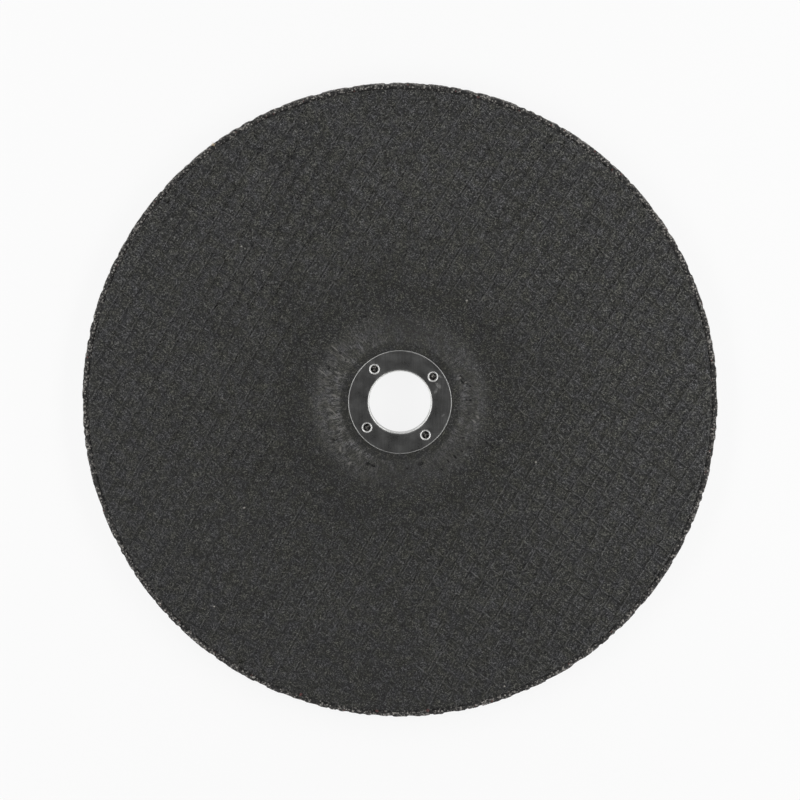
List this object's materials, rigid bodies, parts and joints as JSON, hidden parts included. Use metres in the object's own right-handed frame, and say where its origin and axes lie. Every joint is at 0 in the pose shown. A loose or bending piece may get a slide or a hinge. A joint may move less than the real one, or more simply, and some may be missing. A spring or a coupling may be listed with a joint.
{
  "type": "depressed center grinding disc",
  "caption": "Round resin-bonded grinding disc with a raised hub on one side, a recess for the clamp nut on the other, and a pressed steel centre ring.",
  "frame": {"origin": "on the disc's axis, in the plane of the flat working face that it rests on", "axes": "+Z along the axis, out of the raised hub, towards the grinder"},
  "size_m": [0.23, 0.23, 0.0108],
  "materials": {
    "abrasive": "coarse dark grit in resin, bare at the rim",
    "facing": "black resin-soaked glass net and paper, matte with a fine grain",
    "ring_steel": "dull pressed sheet steel"
  },
  "bodies": {
    "root": {"abrasive_wheel": "abrasive", "net_facing": "facing", "centre_ring": "ring_steel"}
  },
  "joints": []
}
